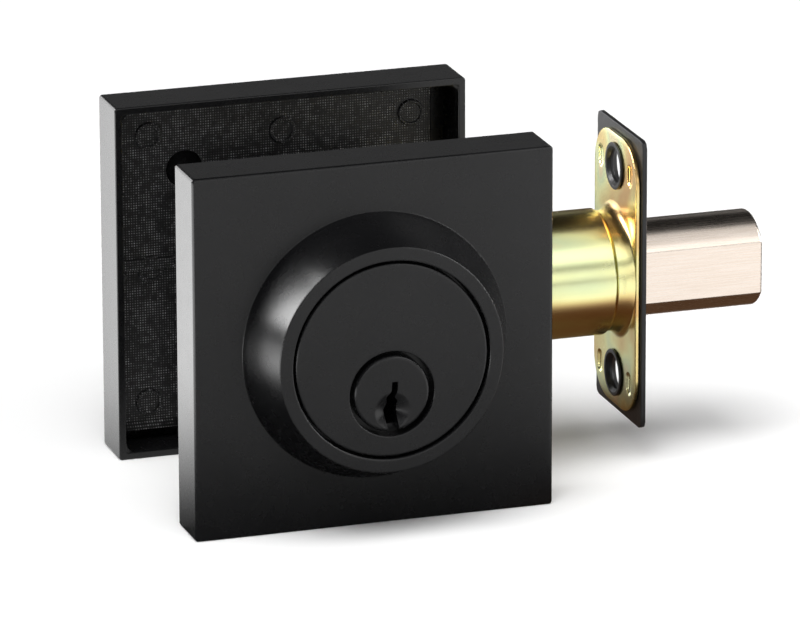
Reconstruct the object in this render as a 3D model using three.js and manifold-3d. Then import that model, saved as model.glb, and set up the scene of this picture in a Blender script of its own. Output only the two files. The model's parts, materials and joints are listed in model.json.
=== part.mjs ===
// Tubular deadbolt door lock: an outside keyed cylinder in a square plate, a round latch tube with a
// sliding bolt, and an inside square cover with a thumb turn.
// Millimetres. The origin is the centre of the door's cross bore, on the door's outside face.
// +X points to the door's edge, +Y from the outside to the inside, +Z up. The bolt is drawn thrown.
import * as THREE from 'three';
import { mergeVertices } from 'three/addons/utils/BufferGeometryUtils.js';
import Module from 'manifold-3d';

// ---------------------------------------------------------------- driving dimensions
const DOOR = 40; // door thickness between the two plates
const PLATE = 70; // side of the outside plate and of the inside cover
const PLATE_DEPTH = 11;
const BACKSET = 60.3; // cross bore centre to the face of the door's edge
const THROW = 25.4;
const TURN_Z = -6.5; // height of the axis shared by plug, tailpiece, cam and thumb turn
const SCREW_X = 14; // the two through bolts stand this far either side of the centre
const FIT = 0.3; // clearance between neighbouring pieces

const PLATE_FRONT = -PLATE_DEPTH;
const PLATE_WALL = 2;
const EDGE_BEVEL = 0.6;
const BOSS_FOOT_R = 25.65;
const BOSS_TOP_R = 21.75;
const BOSS_HEIGHT = 10.5;
const BOSS_STEP = 0.4;
const BOSS_FRONT = PLATE_FRONT - BOSS_HEIGHT;

const HEAD_R = 18.7;
const HEAD_BACK = -17.6;
const HOUSING_R = 17;
const HOUSING_FRONT = BOSS_FRONT + 0.2;
const HOUSING_BODY_BACK = -10;
const HOUSING_BACK = 6;
const PLUG_R = 6.35;
const PLUG_FLANGE_R = 7.35;
const PLUG_FLANGE_BACK = -18.5;
const PLUG_STUB_R = 5.2;
const PLUG_STUB_BACK = 7.6;
const PLUG_GROOVE_R = 8.2;
const KEYWAY_BACK = 5;
const PIN_R = 1.3;
const CHAMBER_TOP = 11.5;
const PIN_FIRST_Y = -15.6;
const PIN_PITCH = 3.95;
const KEY_PIN_LENGTHS = [4.6, 5.8, 5.0, 6.1, 4.9];
const SHEAR_GAP = 0.35;
const DRIVER_LENGTH = 3.6;

const BLADE_HALF = 2.8;
const BLADE_THICK_HALF = 0.9;
const BLADE_END = DOOR + 5;
const SLOT_HALF = BLADE_HALF + FIT;
const SLOT_THICK_HALF = BLADE_THICK_HALF + FIT;
const BOLT_SHANK_R = 1.95;

const TUBE_R = 12.2;
const TUBE_BORE = 11.2;
const TUBE_START = 23.7;
const TUBE_END = 54.6;
const FACE_THICK = 1;
const FACE_BACK = BACKSET - FACE_THICK;
const FACE_WIDTH = 25.4;
const FACE_HEIGHT = 57.15;
const RIVETED_GAP = 0.1; // between the two plates, which the eyelets hold together
const BACKING_FRONT = FACE_BACK - RIVETED_GAP;
const BACKING_BACK = BACKING_FRONT - 0.8;
const BACKING_HALF_WIDTH = 11.75;
const BACKING_HALF_HEIGHT = 27;
const BACKING_CORNER_R = 8;
const FACE_SCREW_Z = 20.65;
const NECK_R = 11.6;
const NECK_FLARE = 1.5; // the neck spreads by this much where it meets the backing plate
const DIMPLE_Y = 8.1;
const SPIGOT_R = TUBE_BORE - FIT;
const SPIGOT_START = 49;
const BOLT_R = 9.3;
const BOLT_FLAT = 7.8;
const BOLT_START = 52;
const BOLT_END = BACKSET + THROW;
const SAW_PIN_Z = -2;
const SAW_PIN_R = 2.8;
const TAIL_PIN_X = 55.5;
const TAIL_PIN_Z = 5.6;
const TAIL_PIN_R = 1.5;
const BAR_HALF = 1;
const BAR_BOTTOM = 2.6;
const BAR_TOP = 8.6;
const CAM_REACH = THROW / 2; // the cam pin starts this far ahead of the axis and above it
const CAM_PIN_R = 1.6;
const CAM_SLOT_HALF = CAM_PIN_R + 0.75; // room for the arc against the straight slide
const CHEEK_INNER = 1.4;
const CHEEK_OUTER = 2.6;
const CASE_INNER = 3;
const CASE_OUTER = 4.2;
const HUB_R = 4.1;
const RIVET_PLACES = [[-9, -8.8], [9, -8.8], [19, -7]];
const BULKHEAD = [23.9, 26.3];
const TAB = [-5, 1.5];

const COVER_WALL = 1.4;
const COVER_FLOOR = 1.5;
const COVER_FACE = DOOR + PLATE_DEPTH;
const INSERT = [DOOR + 7.7, DOOR + 9.2];
const INSERT_RIGHT_GAP = 3;
const INSERT_BOTTOM_GAP = 1.8;
const INSERT_HOLE = { x: 19, z: 19.6, r: 3.7 };
const MOUNT_HALF = 20.9;
const MOUNT_FOOT = -31; // it reaches down past the cross bore
const MOUNT_THICK = 1.5;
const SPINDLE_R = 4.8;
const SPINDLE = [DOOR + 2.5, COVER_FACE + 3.5];
const RING_GROOVE = [DOOR + 5.9, DOOR + 7.1];
const TURN_BASE_R = 9.5;
const TURN_BASE = [COVER_FACE + FIT, COVER_FACE + 4.3];
const TURN_LENGTH = 36;
const TURN_THICK = 8;
const TURN_END = DOOR + 32;
const SET_SCREW_Y = DOOR + 4.4;
const TURN_SCREW_Y = COVER_FACE + 2.2;

// ---------------------------------------------------------------- solids
const wasm = await Module();
wasm.setup();

// Turns a closed geometry into a solid with its faces pointing out.
function solidOf(geometry) {
  geometry.deleteAttribute('normal');
  geometry.deleteAttribute('uv');
  const merged = mergeVertices(geometry, 1e-4);
  const points = merged.attributes.position;
  const index = merged.index.array;
  const corners = [];
  const [a, b, c] = [new THREE.Vector3(), new THREE.Vector3(), new THREE.Vector3()];
  let volume = 0;
  for (let i = 0; i < index.length; i += 3) {
    const [p, q, r] = index.slice(i, i + 3);
    if (p === q || q === r || r === p) continue;
    corners.push(p, q, r);
    a.fromBufferAttribute(points, p);
    b.fromBufferAttribute(points, q);
    c.fromBufferAttribute(points, r);
    volume += a.dot(b.cross(c));
  }
  if (volume < 0) corners.reverse();
  const vertProperties = new Float32Array(points.array);
  const triVerts = new Uint32Array(corners);
  return new wasm.Manifold(new wasm.Mesh({ numProp: 3, vertProperties, triVerts }));
}

function geometryOf(solid) {
  const mesh = solid.getMesh();
  const geometry = new THREE.BufferGeometry();
  geometry.setAttribute('position', new THREE.BufferAttribute(new Float32Array(mesh.vertProperties), 3));
  geometry.setIndex(new THREE.BufferAttribute(new Uint32Array(mesh.triVerts), 1));
  geometry.computeVertexNormals();
  return geometry;
}

const join = (first, ...rest) => rest.reduce((sum, solid) => sum.add(solid), first);
const cut = (first, ...rest) => rest.reduce((left, solid) => left.subtract(solid), first);

function box(x0, x1, y0, y1, z0, z1) {
  const geometry = new THREE.BoxGeometry(x1 - x0, y1 - y0, z1 - z0);
  return solidOf(geometry.translate((x0 + x1) / 2, (y0 + y1) / 2, (z0 + z1) / 2));
}

// Round rods along each axis.
function rodY(x, z, radius, y0, y1, sides = 24) {
  const geometry = new THREE.CylinderGeometry(radius, radius, y1 - y0, sides);
  return solidOf(geometry.translate(x, (y0 + y1) / 2, z));
}

function rodX(y, z, radius, x0, x1, sides = 24) {
  const geometry = new THREE.CylinderGeometry(radius, radius, x1 - x0, sides);
  return solidOf(geometry.rotateZ(-Math.PI / 2).translate((x0 + x1) / 2, y, z));
}

function rodZ(x, y, radius, z0, z1, sides = 12) {
  const geometry = new THREE.CylinderGeometry(radius, radius, z1 - z0, sides);
  return solidOf(geometry.rotateX(Math.PI / 2).translate(x, y, (z0 + z1) / 2));
}

// Turned pieces: each profile point is [radius, place along the axis].
function latheY(profile, x = 0, z = 0, sides = 32) {
  const points = profile.map(([r, y]) => new THREE.Vector2(r, y));
  return solidOf(new THREE.LatheGeometry(points, sides).translate(x, 0, z));
}

function latheX(profile, y = 0, z = 0, sides = 32) {
  const points = profile.map(([r, x]) => new THREE.Vector2(r, x));
  return solidOf(new THREE.LatheGeometry(points, sides).rotateZ(-Math.PI / 2).translate(0, y, z));
}

const outline = (points) => new THREE.Shape(points.map(([u, v]) => new THREE.Vector2(u, v)));

// Extrudes an outline drawn in (X, Z) along Y.
function slabY(shape, y0, y1) {
  const geometry = new THREE.ExtrudeGeometry(shape, { depth: y1 - y0, bevelEnabled: false, curveSegments: 8 });
  return solidOf(geometry.rotateX(Math.PI / 2).translate(0, y1, 0));
}

// Extrudes an outline drawn in (Y, Z) along X.
function slabX(shape, x0, x1) {
  const geometry = new THREE.ExtrudeGeometry(shape, { depth: x1 - x0, bevelEnabled: false, curveSegments: 5 });
  geometry.rotateX(Math.PI / 2).rotateZ(Math.PI / 2);
  return solidOf(geometry.translate(x0, 0, 0));
}

// A square block along Y whose half side goes from half0 at y0 to half1 at y1.
function squareTaperY(half0, half1, y0, y1) {
  const corner = Math.SQRT2;
  const geometry = new THREE.CylinderGeometry(half1 * corner, half0 * corner, y1 - y0, 4);
  return solidOf(geometry.rotateY(Math.PI / 4).translate(0, (y0 + y1) / 2, 0));
}

// A bar with round ends, lying in the XZ plane.
function linkY(x0, z0, x1, z1, half, y0, y1) {
  const length = Math.hypot(x1 - x0, z1 - z0);
  const [sideX, sideZ] = [(-(z1 - z0) / length) * half, ((x1 - x0) / length) * half];
  const corners = [
    [x0 - sideX, z0 - sideZ],
    [x1 - sideX, z1 - sideZ],
    [x1 + sideX, z1 + sideZ],
    [x0 + sideX, z0 + sideZ],
  ];
  const ends = [rodY(x0, z0, half, y0, y1), rodY(x1, z1, half, y0, y1)];
  return join(slabY(outline(corners), y0, y1), ...ends);
}

// ---------------------------------------------------------------- finishes
const finish = (color, roughness, metalness) => new THREE.MeshStandardMaterial({ color, roughness, metalness });
const satinBlack = finish(0x1d1d1f, 0.42, 0.3);
const blackSteel = finish(0x232325, 0.5, 0.5);
const yellowZinc = finish(0xd9c98a, 0.35, 1);
const satinNickel = finish(0xc9c2b8, 0.3, 1);
const brightZinc = finish(0xb8bcc0, 0.38, 1);
const castZinc = finish(0x8c8d90, 0.55, 0.9);
const brass = finish(0xc6a24e, 0.32, 1);
const springSteel = finish(0x9a9da1, 0.3, 1);
const hardSteel = finish(0x77797d, 0.35, 1);
const darkPlastic = finish(0x2c2d2f, 0.6, 0);

// ---------------------------------------------------------------- outside plate and cylinder
function exteriorEscutcheon() {
  const half = PLATE / 2;
  const plate = box(-half, half, PLATE_FRONT + EDGE_BEVEL, 0, -half, half);
  const bevel = squareTaperY(half - EDGE_BEVEL, half, PLATE_FRONT, PLATE_FRONT + EDGE_BEVEL);
  // the boss stands on the plate with a short upright step, then narrows as a cone to its ring
  const profile = [
    [0, PLATE_FRONT + 1], [BOSS_FOOT_R, PLATE_FRONT + 1], [BOSS_FOOT_R, PLATE_FRONT - BOSS_STEP],
    [BOSS_TOP_R, BOSS_FRONT + FIT], [BOSS_TOP_R - FIT, BOSS_FRONT], [0, BOSS_FRONT],
  ];
  const boss = latheY(profile, 0, 0, 56);
  const inner = half - PLATE_WALL;
  const pad = 9;
  const hollow = outline([
    [-inner + pad, -inner], [inner - pad, -inner], [inner, -inner + pad], [inner, inner - pad],
    [inner - pad, inner], [-inner + pad, inner], [-inner, inner - pad], [-inner, -inner + pad],
  ]);
  return cut(
    join(plate, bevel, boss),
    slabY(hollow, PLATE_FRONT + PLATE_WALL, 1),
    rodY(0, 0, HEAD_R + FIT, BOSS_FRONT - 1, HEAD_BACK + FIT, 48),
    rodY(0, 0, HOUSING_R + FIT, BOSS_FRONT - 1, 1, 48),
  );
}

const pinPlaces = KEY_PIN_LENGTHS.map((_, i) => PIN_FIRST_Y + i * PIN_PITCH);

function cylinderHousing() {
  const head = latheY([
    [0, HOUSING_FRONT], [HEAD_R - 0.4, HOUSING_FRONT], [HEAD_R, HOUSING_FRONT + 0.4], [HEAD_R, HEAD_BACK],
    [HOUSING_R, HEAD_BACK], [HOUSING_R, HOUSING_BODY_BACK], [0, HOUSING_BODY_BACK],
  ], 0, 0, 48);
  const start = HOUSING_BODY_BACK - 1;
  const shell = rodY(0, TURN_Z, PLUG_R + 2.3, start, HOUSING_BACK, 32);
  const bible = box(-5, 5, start, HOUSING_BACK, TURN_Z, CHAMBER_TOP + 2);
  const web = box(-SCREW_X, SCREW_X, start, HOUSING_BACK, -2.2, 2.2);
  const posts = [-SCREW_X, SCREW_X].map((x) => rodY(x, 0, 3.1, start, HOUSING_BACK));
  const screwHoles = [-SCREW_X, SCREW_X].map((x) => rodY(x, 0, BOLT_SHANK_R + FIT, -6, HOUSING_BACK + 1, 16));
  const chambers = pinPlaces.map((y) => rodZ(0, y, PIN_R + FIT, TURN_Z, CHAMBER_TOP + 0.1));
  const stripSlot = box(-2.3, 2.3, PIN_FIRST_Y - 2, HOUSING_BACK + 1, CHAMBER_TOP, CHAMBER_TOP + 1.1);
  return cut(
    join(head, shell, bible, web, ...posts),
    rodY(0, TURN_Z, PLUG_R + FIT, HOUSING_FRONT - 1, HOUSING_BACK + 1, 32),
    rodY(0, TURN_Z, PLUG_GROOVE_R, HOUSING_FRONT - 1, PLUG_FLANGE_BACK + FIT, 32),
    ...screwHoles, ...chambers, stripSlot,
  );
}

function keyPlug() {
  const body = latheY([
    [0, HOUSING_FRONT], [PLUG_FLANGE_R - 0.4, HOUSING_FRONT], [PLUG_FLANGE_R, HOUSING_FRONT + 0.4],
    [PLUG_FLANGE_R, PLUG_FLANGE_BACK], [PLUG_R, PLUG_FLANGE_BACK], [PLUG_R, HOUSING_BACK],
    [PLUG_STUB_R, HOUSING_BACK], [PLUG_STUB_R, PLUG_STUB_BACK], [0, PLUG_STUB_BACK],
  ], 0, TURN_Z, 32);
  const keyway = outline([
    [0, 2.3], [1.13, 2.3], [1.1, 0.7], [0.6, -0.75], [1.23, -1.6], [1.15, -2.7], [1.3, -8], [-0.9, -8],
    [-1.45, -3.2], [-0.75, -2.2], [-1, -0.75], [-0.1, 0.6],
  ].map(([x, z]) => [x, z + TURN_Z]));
  const dish = latheY([
    [0, HOUSING_FRONT + 0.8], [1.8, HOUSING_FRONT + 0.6], [3.6, HOUSING_FRONT],
    [3.6, HOUSING_FRONT - 1], [0, HOUSING_FRONT - 1],
  ], 0.1, TURN_Z - 2.95, 24);
  const chambers = pinPlaces.map((y) => rodZ(0, y, PIN_R + FIT, TURN_Z - 1.2, TURN_Z + PLUG_R + 1));
  return cut(body, slabY(keyway, HOUSING_FRONT - 1, KEYWAY_BACK), dish, ...chambers);
}

function plugRetainerCap() {
  return latheY([
    [PLUG_STUB_R + FIT, HOUSING_BACK + FIT], [7.4, HOUSING_BACK + FIT], [7.4, 10.7], [3.9, 10.7],
    [3.9, 9.5], [PLUG_STUB_R + FIT, 9.5], [PLUG_STUB_R + FIT, HOUSING_BACK + FIT],
  ], 0, TURN_Z, 32);
}

function tailpiece() {
  const head = rodY(0, TURN_Z, 5, PLUG_STUB_BACK + FIT, 9.2);
  const blade = box(
    -BLADE_HALF, BLADE_HALF, 9, BLADE_END, TURN_Z - BLADE_THICK_HALF, TURN_Z + BLADE_THICK_HALF);
  return join(head, blade);
}

function springCoverStrip() {
  return box(-2, 2, PIN_FIRST_Y - 1.7, HOUSING_BACK - 0.2, CHAMBER_TOP + FIT, CHAMBER_TOP + 0.8);
}

// A key pin: round, with a pointed foot, its top just under the plug's skin.
function keyPin(y, length) {
  const top = TURN_Z + PLUG_R - SHEAR_GAP;
  const rod = new THREE.LatheGeometry([
    new THREE.Vector2(0, top - length), new THREE.Vector2(PIN_R, top - length + 1.1),
    new THREE.Vector2(PIN_R, top), new THREE.Vector2(0, top),
  ], 12);
  return solidOf(rod.rotateX(Math.PI / 2).translate(0, y, 0));
}

const driverFoot = TURN_Z + PLUG_R + FIT + 0.15;
const driverPin = (y) => rodZ(0, y, PIN_R, driverFoot, driverFoot + DRIVER_LENGTH);

// A coil spring standing along Z between z0 and z1.
class Helix extends THREE.Curve {
  constructor(radius, z0, z1, turns) {
    super();
    Object.assign(this, { radius, z0, z1, turns });
  }

  getPoint(t, target = new THREE.Vector3()) {
    const turn = 2 * Math.PI * this.turns * t;
    const z = this.z0 + (this.z1 - this.z0) * t;
    return target.set(this.radius * Math.cos(turn), this.radius * Math.sin(turn), z);
  }
}

function pinSpring(y) {
  const wire = 0.22;
  const section = outline([[wire, 0], [0, wire], [-wire, 0], [0, -wire]]);
  const path = new Helix(1, driverFoot + DRIVER_LENGTH + 0.55, CHAMBER_TOP - 0.55, 5);
  const geometry = new THREE.ExtrudeGeometry(section, { steps: 40, extrudePath: path, curveSegments: 1 });
  return solidOf(geometry.translate(0, y, 0));
}

function throughBolt(x) {
  const headStart = DOOR + MOUNT_THICK + FIT;
  const screw = latheY([
    [0, -5.5], [BOLT_SHANK_R, -4.9], [BOLT_SHANK_R, headStart], [3.6, headStart], [3.4, headStart + 1.3],
    [2, headStart + 2], [0, headStart + 2.2],
  ], x, 0, 16);
  return cut(screw, box(x - 2.4, x + 2.4, headStart + 1, headStart + 3, -0.4, 0.4));
}

// ---------------------------------------------------------------- latch, drawn about the door's middle
// A round bar along X with flats at +flat and -flat in Y.
function flattedRod(radius, flat, x0, x1) {
  return rodX(0, 0, radius, x0, x1, 48).intersect(box(x0 - 1, x1 + 1, -flat, flat, -radius, radius));
}

function boltTube() {
  return latheX([
    [TUBE_BORE, TUBE_START], [TUBE_R, TUBE_START], [TUBE_R, TUBE_END], [TUBE_BORE, TUBE_END],
    [TUBE_BORE, TUBE_START],
  ], 0, 0, 48);
}

// A rectangle with round corners, centred on the latch's axis and drawn in (Y, Z).
function roundedPlate(halfWidth, halfHeight, r) {
  const shape = new THREE.Shape();
  const [w, h] = [halfWidth - r, halfHeight - r];
  [[w, h], [-w, h], [-w, -h], [w, -h]].forEach(([y, z], i) => {
    shape.absarc(y, z, r, (i * Math.PI) / 2, ((i + 1) * Math.PI) / 2, false);
  });
  return shape;
}

function backingPlate() {
  const shape = roundedPlate(BACKING_HALF_WIDTH, BACKING_HALF_HEIGHT, BACKING_CORNER_R);
  const plate = slabX(shape, BACKING_BACK, BACKING_FRONT);
  const neck = latheX([
    [0, TUBE_END + FIT], [NECK_R, TUBE_END + FIT], [NECK_R + 0.1, BACKING_BACK - 1.6],
    [NECK_R + 0.5, BACKING_BACK - 0.6], [NECK_R + NECK_FLARE, BACKING_BACK + 0.1], [0, BACKING_BACK + 0.1],
  ], 0, 0, 48);
  const width = box(TUBE_END, BACKING_FRONT, -BACKING_HALF_WIDTH, BACKING_HALF_WIDTH, -NECK_R * 2, NECK_R * 2);
  const spigot = rodX(0, 0, SPIGOT_R, SPIGOT_START, TUBE_END + 1, 48);
  const bore = flattedRod(BOLT_R + 0.4, BOLT_FLAT + 0.4, SPIGOT_START - 1, BACKING_FRONT + 1);
  const holes = [-FACE_SCREW_Z, FACE_SCREW_Z].map((z) => rodX(0, z, 4.2, BACKING_BACK - 1, BACKING_FRONT + 1));
  const dimples = [];
  for (const z of [-FACE_SCREW_Z, FACE_SCREW_Z]) {
    for (const y of [-DIMPLE_Y, DIMPLE_Y]) {
      dimples.push(box(BACKING_BACK - 1, BACKING_BACK + 0.5, y - 1.2, y + 1.2, z - 2.3, z + 2.3));
    }
  }
  return cut(join(plate, neck.intersect(width), spigot), bore, ...holes, ...dimples);
}

function faceplate() {
  const shape = roundedPlate(FACE_WIDTH / 2, FACE_HEIGHT / 2, 1.5);
  const flangeFront = BACKING_BACK - RIVETED_GAP;
  const flangeBack = flangeFront - 0.4;
  const parts = [slabX(shape, FACE_BACK, BACKSET)];
  const holes = [flattedRod(BOLT_R + 0.3, BOLT_FLAT + 0.3, FACE_BACK - 1, BACKSET + 1)];
  for (const z of [-FACE_SCREW_Z, FACE_SCREW_Z]) {
    parts.push(rodX(0, z, 3.9, flangeBack, FACE_BACK + 0.5), rodX(0, z, 4.6, flangeBack, flangeFront));
    holes.push(latheX([
      [0, flangeBack - 1], [3.8, flangeBack - 1], [3.8, flangeBack], [3.2, flangeBack + 0.6],
      [3.2, BACKSET - 1.2], [4.4, BACKSET], [4.4, BACKSET + 1], [0, BACKSET + 1],
    ], 0, z, 24));
  }
  return cut(join(...parts), ...holes);
}

function bolt() {
  const body = flattedRod(BOLT_R, BOLT_FLAT, BOLT_START, BOLT_END - 0.5);
  const tip = latheX([[0, BOLT_END - 0.5], [BOLT_R, BOLT_END - 0.5], [BOLT_R - 0.5, BOLT_END], [0, BOLT_END]], 0, 0, 48);
  const flats = box(BOLT_START, BOLT_END + 1, -BOLT_FLAT, BOLT_FLAT, -BOLT_R, BOLT_R);
  return cut(
    join(body, tip.intersect(flats)),
    box(BOLT_START - 1, TAIL_PIN_X + 3.1, -BAR_HALF - FIT, BAR_HALF + FIT, BAR_BOTTOM - FIT, BOLT_R + 1),
    rodY(TAIL_PIN_X, TAIL_PIN_Z, TAIL_PIN_R + FIT, -BOLT_R, BOLT_R, 16),
    rodX(0, SAW_PIN_Z, SAW_PIN_R + FIT, BOLT_START - 1, 80),
  );
}

function antiSawPin() {
  return latheX([
    [0, 54], [SAW_PIN_R - 0.5, 54], [SAW_PIN_R, 54.5], [SAW_PIN_R, 79.1], [SAW_PIN_R - 0.5, 79.6], [0, 79.6],
  ], 0, SAW_PIN_Z, 20);
}

function tailBar() {
  const slot = [CAM_REACH - CAM_SLOT_HALF, CAM_REACH + CAM_SLOT_HALF];
  const horn = 2.9;
  const hornTop = TURN_Z + CAM_REACH * Math.SQRT2 + 0.05;
  const slotFloor = TURN_Z + CAM_REACH - CAM_PIN_R - 0.4;
  const shape = outline([
    [slot[0] - horn, BAR_BOTTOM], [58.3, BAR_BOTTOM], [58.3, BAR_TOP], [slot[1] + horn + 2, BAR_TOP],
    [slot[1] + horn, hornTop], [slot[1], hornTop], [slot[1], slotFloor], [slot[0], slotFloor],
    [slot[0], hornTop], [slot[0] - horn, hornTop],
  ]);
  const hole = rodY(TAIL_PIN_X, TAIL_PIN_Z, TAIL_PIN_R + FIT, -2, 2, 16);
  return cut(slabY(shape, -BAR_HALF, BAR_HALF), hole);
}

function bulkhead() {
  const [x0, x1] = BULKHEAD;
  const tabs = [-1, 1].map((side) => {
    const [near, far] = [side * (CASE_INNER - FIT), side * (CASE_OUTER + FIT)].sort((a, b) => a - b);
    return box(x0 - 1, x1 + 1, near, far, TAB[0] - FIT, TAB[1] + FIT);
  });
  const window = box(x0 - 1, x1 + 1, -BAR_HALF - 0.4, BAR_HALF + 0.4, BAR_BOTTOM - 0.4, BAR_TOP + 0.4);
  return cut(rodX(0, 0, TUBE_BORE - FIT, x0, x1, 32), window, ...tabs);
}

function casePlate(y0, y1) {
  const end = TUBE_START - FIT;
  const shape = outline([
    [-8.5, -11.9], [end, -11.9], [end, TAB[0]], [BULKHEAD[1] - FIT, TAB[0]], [BULKHEAD[1] - FIT, TAB[1]],
    [end, TAB[1]], [end, 10.5], [-8.5, 10.5], [-11.5, 7.5], [-11.5, -8.9],
  ]);
  const rivetHoles = RIVET_PLACES.map(([x, z]) => rodY(x, z, 1.5, y0 - 1, y1 + 1, 12));
  return cut(
    slabY(shape, y0, y1),
    rodY(0, TURN_Z, HUB_R + FIT, y0 - 1, y1 + 1, 32),
    rodY(SCREW_X, 0, BOLT_SHANK_R + 0.65, y0 - 1, y1 + 1),
    ...rivetHoles,
  );
}

function cam() {
  const [pinX, pinZ] = [CAM_REACH, TURN_Z + CAM_REACH];
  const parts = [rodY(0, TURN_Z, HUB_R, -CASE_OUTER - 0.2, CASE_OUTER + 0.2, 32)];
  for (const [y0, y1] of [[CHEEK_INNER, CHEEK_OUTER], [-CHEEK_OUTER, -CHEEK_INNER]]) {
    parts.push(rodY(0, TURN_Z, 5.2, y0, y1, 32), linkY(0, TURN_Z, pinX, pinZ, 2.9, y0, y1));
  }
  return cut(
    join(...parts),
    box(-SLOT_HALF, SLOT_HALF, -5, 5, TURN_Z - SLOT_THICK_HALF, TURN_Z + SLOT_THICK_HALF),
    rodY(pinX, pinZ, CAM_PIN_R + FIT, -3, 3, 16),
  );
}

const camPin = () => rodY(CAM_REACH, TURN_Z + CAM_REACH, CAM_PIN_R, -CHEEK_OUTER, CHEEK_OUTER, 16);
const tailBarPin = () => rodY(TAIL_PIN_X, TAIL_PIN_Z, TAIL_PIN_R, -5.8, 5.8, 16);

// A shouldered rivet that holds the two case plates apart.
function caseRivet([x, z]) {
  const [shoulder, plate, head] = [CASE_INNER - FIT, CASE_OUTER + FIT, CASE_OUTER + 1.1];
  return latheY([
    [0, -head], [1.6, -head], [2.1, -plate], [1.2, -plate], [1.2, -shoulder], [1.9, -shoulder],
    [1.9, shoulder], [1.2, shoulder], [1.2, plate], [2.1, plate], [1.6, head], [0, head],
  ], x, z, 14);
}

// ---------------------------------------------------------------- inside cover and thumb turn
function interiorCover() {
  const half = PLATE / 2;
  const inner = half - COVER_WALL;
  const shell = box(-half, half, DOOR, COVER_FACE - EDGE_BEVEL, -half, half);
  const bevel = squareTaperY(half, half - EDGE_BEVEL, COVER_FACE - EDGE_BEVEL, COVER_FACE);
  return cut(
    join(shell, bevel),
    box(-inner, inner, DOOR - 1, COVER_FACE - COVER_FLOOR, -inner, inner),
    rodY(0, TURN_Z, SPINDLE_R + 0.4, DOOR, COVER_FACE + 1, 32),
    rodZ(0, SET_SCREW_Y, 2.2, -half - 1, -inner + 1, 16),
  );
}

function interiorInsert() {
  const inner = PLATE / 2 - COVER_WALL;
  const sheet = box(
    -inner + FIT, inner - INSERT_RIGHT_GAP, INSERT[0], INSERT[1], -inner + INSERT_BOTTOM_GAP, inner - FIT);
  const { x, z, r } = INSERT_HOLE;
  const holes = [[-x, z], [x, -z]].map(([u, v]) => rodY(u, v, r, DOOR, COVER_FACE));
  return cut(sheet, rodY(0, TURN_Z, SPINDLE_R + 0.4, DOOR, COVER_FACE, 32), ...holes);
}

function mountingPlate() {
  const back = DOOR + MOUNT_THICK;
  const flangeFoot = -PLATE / 2 + COVER_WALL + 0.4;
  const plate = box(-MOUNT_HALF, MOUNT_HALF, DOOR, back, MOUNT_FOOT, MOUNT_HALF);
  const tab = box(-6, 6, DOOR, back, flangeFoot, MOUNT_FOOT + 1);
  const flange = box(-6, 6, DOOR + 1, DOOR + 6.2, flangeFoot, flangeFoot + MOUNT_THICK);
  return cut(
    join(plate, tab, flange),
    rodY(0, TURN_Z, 6.2, DOOR - 1, back + 1, 32),
    rodY(-SCREW_X, 0, BOLT_SHANK_R + FIT + 0.05, DOOR - 1, back + 1),
    rodY(SCREW_X, 0, BOLT_SHANK_R + FIT + 0.05, DOOR - 1, back + 1),
    rodZ(0, SET_SCREW_Y, 2.2, flangeFoot - 1, flangeFoot + 3, 16),
  );
}

const coverSetScrew = () => rodZ(0, SET_SCREW_Y, 1.9, -PLATE / 2, -PLATE / 2 + 4.6, 16);

function thumbturnSpindle() {
  const [groove0, groove1] = RING_GROOVE;
  const rod = latheY([
    [0, SPINDLE[0]], [SPINDLE_R, SPINDLE[0]], [SPINDLE_R, groove0], [SPINDLE_R - 0.6, groove0],
    [SPINDLE_R - 0.6, groove1], [SPINDLE_R, groove1], [SPINDLE_R, SPINDLE[1]], [0, SPINDLE[1]],
  ], 0, TURN_Z, 32);
  const slot = box(
    -SLOT_HALF, SLOT_HALF, SPINDLE[0] - 1, BLADE_END + 3, TURN_Z - SLOT_THICK_HALF, TURN_Z + SLOT_THICK_HALF);
  return cut(rod, slot);
}

function spindleRetainingRing() {
  const [y0, y1] = [RING_GROOVE[0] + FIT, RING_GROOVE[1] - FIT];
  const ring = cut(rodY(0, TURN_Z, 6.8, y0, y1, 32), rodY(0, TURN_Z, SPINDLE_R - FIT, y0 - 1, y1 + 1, 32));
  return cut(ring, box(-2, 2, y0 - 1, y1 + 1, TURN_Z - 8, TURN_Z - 2));
}

function waveWasher() {
  const [y0, y1] = [RING_GROOVE[1], INSERT[0] - FIT];
  return cut(rodY(0, TURN_Z, 7.2, y0, y1, 32), rodY(0, TURN_Z, SPINDLE_R + 0.4, y0 - 1, y1 + 1, 32));
}

function thumbturn() {
  const base = latheY([
    [0, TURN_BASE[0]], [TURN_BASE_R, TURN_BASE[0]], [TURN_BASE_R, TURN_BASE[1] - 0.6],
    [TURN_BASE_R - 0.6, TURN_BASE[1]], [0, TURN_BASE[1]],
  ], 0, TURN_Z, 40);
  const reach = (TURN_LENGTH - TURN_THICK) / 2;
  const paddle = linkY(-reach, TURN_Z, reach, TURN_Z, TURN_THICK / 2, TURN_BASE[1] - 0.5, TURN_END);
  return cut(
    join(base, paddle),
    rodY(0, TURN_Z, SPINDLE_R + FIT, TURN_BASE[0] - 1, SPINDLE[1] + FIT, 32),
    rodZ(0, TURN_SCREW_Y, 1.6, TURN_Z - TURN_BASE_R - 1, TURN_Z - SPINDLE_R),
  );
}

const thumbturnScrew = () => rodZ(0, TURN_SCREW_Y, 1.3, TURN_Z - TURN_BASE_R + 0.4, TURN_Z - SPINDLE_R - FIT);

// ---------------------------------------------------------------- assembly
const lock = new THREE.Group();
const outside = new THREE.Group();
const latch = new THREE.Group();
const inside = new THREE.Group();
latch.position.y = DOOR / 2;
lock.add(outside, latch, inside);

function place(group, name, solid, material) {
  const mesh = new THREE.Mesh(geometryOf(solid), material);
  mesh.name = name;
  group.add(mesh);
}

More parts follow.
